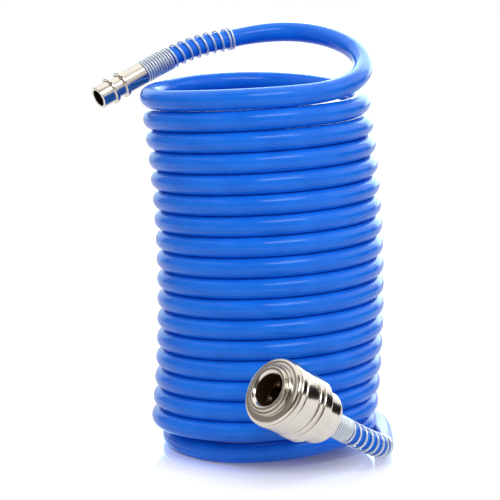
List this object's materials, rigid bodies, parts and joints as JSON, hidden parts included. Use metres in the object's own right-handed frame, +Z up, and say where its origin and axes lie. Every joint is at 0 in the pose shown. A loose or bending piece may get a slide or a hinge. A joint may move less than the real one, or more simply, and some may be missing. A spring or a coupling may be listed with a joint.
{
  "type": "coiled air hose",
  "caption": "Upright coil of blue air hose with a plug nipple on top and a quick coupler below, each behind a spring bend guard.",
  "frame": {"origin": "on the floor, at the centre of the coil's lowest turn", "axes": "+Z up along the coil; -Y is the side the coupler's mouth shows on; +X is to the right there"},
  "size_m": [0.1284, 0.1468, 0.1781],
  "materials": {
    "blue_hose": "gloss",
    "plated_steel": "polished",
    "zinc_wire": "satin",
    "brass": "satin",
    "black_rubber": "matte"
  },
  "bodies": {
    "hose_and_coupler": {"hose_coil": "blue_hose", "coupler_hose_tail": "blue_hose", "coupler_bend_guard": "zinc_wire", "coupler_rear_body": "plated_steel", "coupler_front_body": "plated_steel", "sleeve_retaining_ring": "plated_steel", "sleeve_spring": "zinc_wire", "plug_seal": "black_rubber", "body_seal": "black_rubber", "valve_spring": "zinc_wire"},
    "release_sleeve": {"coupler_sleeve": "plated_steel"},
    "valve": {"valve_poppet": "brass", "valve_seal": "black_rubber"},
    "plug_end": {"plug_hose_tail": "blue_hose", "plug_nipple": "plated_steel", "plug_bend_guard": "zinc_wire"},
    "ball_1": {"locking_ball_1": "plated_steel"},
    "ball_2": {"locking_ball_2": "plated_steel"},
    "ball_3": {"locking_ball_3": "plated_steel"},
    "ball_4": {"locking_ball_4": "plated_steel"},
    "ball_5": {"locking_ball_5": "plated_steel"},
    "ball_6": {"locking_ball_6": "plated_steel"}
  },
  "joints": [
    {"name": "sleeve_slide", "type": "slide", "parent": "hose_and_coupler", "child": "release_sleeve", "axis": [0.6483, 0.5843, -0.4882], "range_m": [0, 0.0042], "stiffness_N_per_m": 1500, "springref_m": -0.006, "deforming": ["sleeve_spring"]},
    {"name": "valve_slide", "type": "slide", "parent": "hose_and_coupler", "child": "valve", "axis": [0.6483, 0.5843, -0.4882], "range_m": [0, 0.0036], "stiffness_N_per_m": 500, "springref_m": -0.006, "deforming": ["valve_spring"]},
    {"name": "coil_stretch", "type": "slide", "parent": "hose_and_coupler", "child": "plug_end", "axis": [0, 0, 1], "range_m": [0, 2], "stiffness_N_per_m": 6, "springref_m": -0.1, "deforming": ["hose_coil"]},
    {"name": "ball_1_slide", "type": "slide", "parent": "hose_and_coupler", "child": "ball_1", "axis": [0.4942, 0.1649, 0.8536], "range_m": [0, 0.00105]},
    {"name": "ball_2_slide", "type": "slide", "parent": "hose_and_coupler", "child": "ball_2", "axis": [-0.2545, 0.7706, 0.5843], "range_m": [0, 0.00105]},
    {"name": "ball_3_slide", "type": "slide", "parent": "hose_and_coupler", "child": "ball_3", "axis": [-0.7487, 0.6057, -0.2693], "range_m": [0, 0.00105]},
    {"name": "ball_4_slide", "type": "slide", "parent": "hose_and_coupler", "child": "ball_4", "axis": [-0.4942, -0.1649, -0.8536], "range_m": [0, 0.00105]},
    {"name": "ball_5_slide", "type": "slide", "parent": "hose_and_coupler", "child": "ball_5", "axis": [0.2545, -0.7706, -0.5843], "range_m": [0, 0.00105]},
    {"name": "ball_6_slide", "type": "slide", "parent": "hose_and_coupler", "child": "ball_6", "axis": [0.7487, -0.6057, 0.2693], "range_m": [0, 0.00105]}
  ],
  "couplings": [
    {"joint": "ball_1_slide", "follows": "sleeve_slide", "ratio": 0.25},
    {"joint": "ball_2_slide", "follows": "sleeve_slide", "ratio": 0.25},
    {"joint": "ball_3_slide", "follows": "sleeve_slide", "ratio": 0.25},
    {"joint": "ball_4_slide", "follows": "sleeve_slide", "ratio": 0.25},
    {"joint": "ball_5_slide", "follows": "sleeve_slide", "ratio": 0.25},
    {"joint": "ball_6_slide", "follows": "sleeve_slide", "ratio": 0.25}
  ]
}
